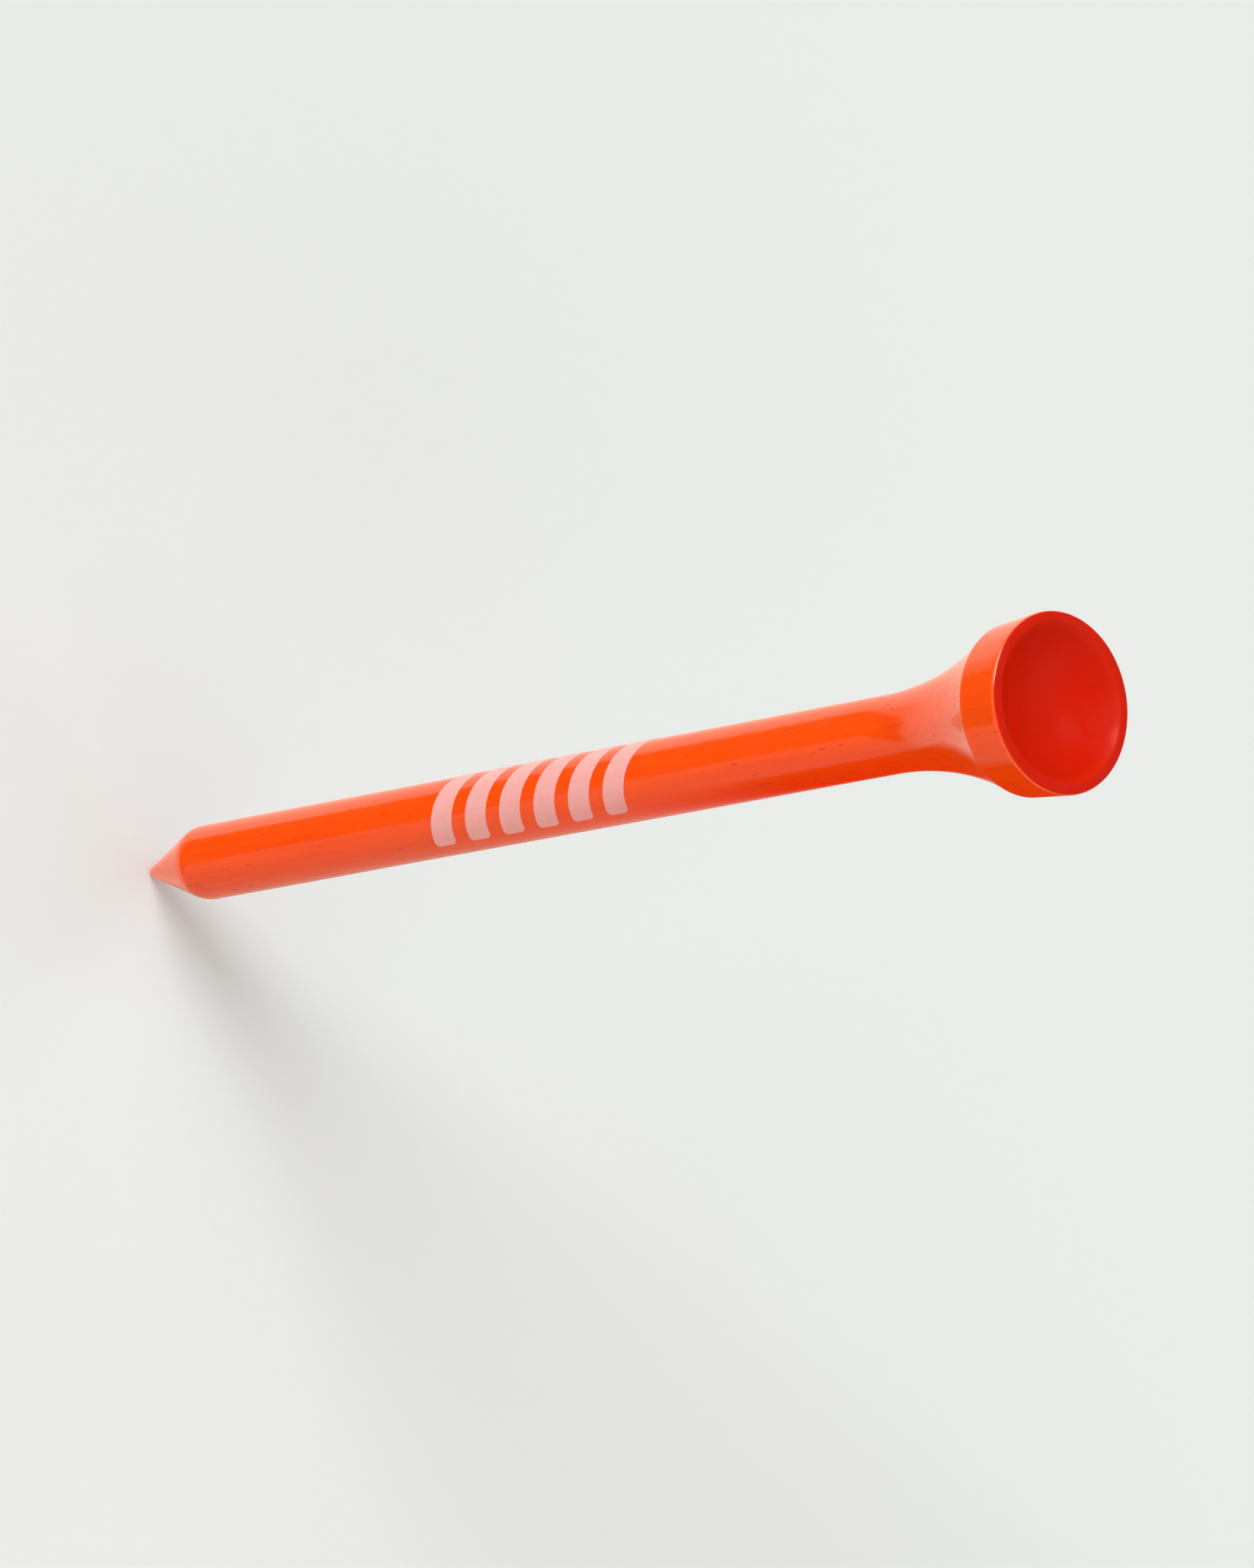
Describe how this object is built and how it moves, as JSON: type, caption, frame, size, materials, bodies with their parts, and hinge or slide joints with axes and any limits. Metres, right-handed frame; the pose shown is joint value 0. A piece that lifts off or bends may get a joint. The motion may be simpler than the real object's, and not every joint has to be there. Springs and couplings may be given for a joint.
{
  "type": "golf tee",
  "caption": "Wooden golf tee: slim turned hardwood pin with a short cone point and a flared, cupped head, in glossy orange-red lacquer with slanted pale pink ink bars.",
  "frame": {"origin": "on the tee's axis, at the middle of the stretch of shank that turf or a fabric loop grips, 55 mm above the nose", "axes": "+Z along the tee's axis from the pointed nose to the cup; the printed mark is on the -Y side, turned towards -X"},
  "size_m": [0.011, 0.011, 0.0829],
  "materials": {
    "wood": "bare pale birch, fine straight grain, seen only at the nose",
    "lacquer": "glossy orange-red lacquer over turned wood, with faint grain and small tool pits",
    "ink": "pad-printed pale pink ink, slightly raised, satin"
  },
  "bodies": {
    "root": {"wood_body": "wood", "lacquer_coat": "lacquer", "ink_bar_1": "ink", "ink_bar_2": "ink", "ink_bar_3": "ink", "ink_bar_4": "ink", "ink_bar_5": "ink", "ink_bar_6": "ink"}
  },
  "joints": []
}
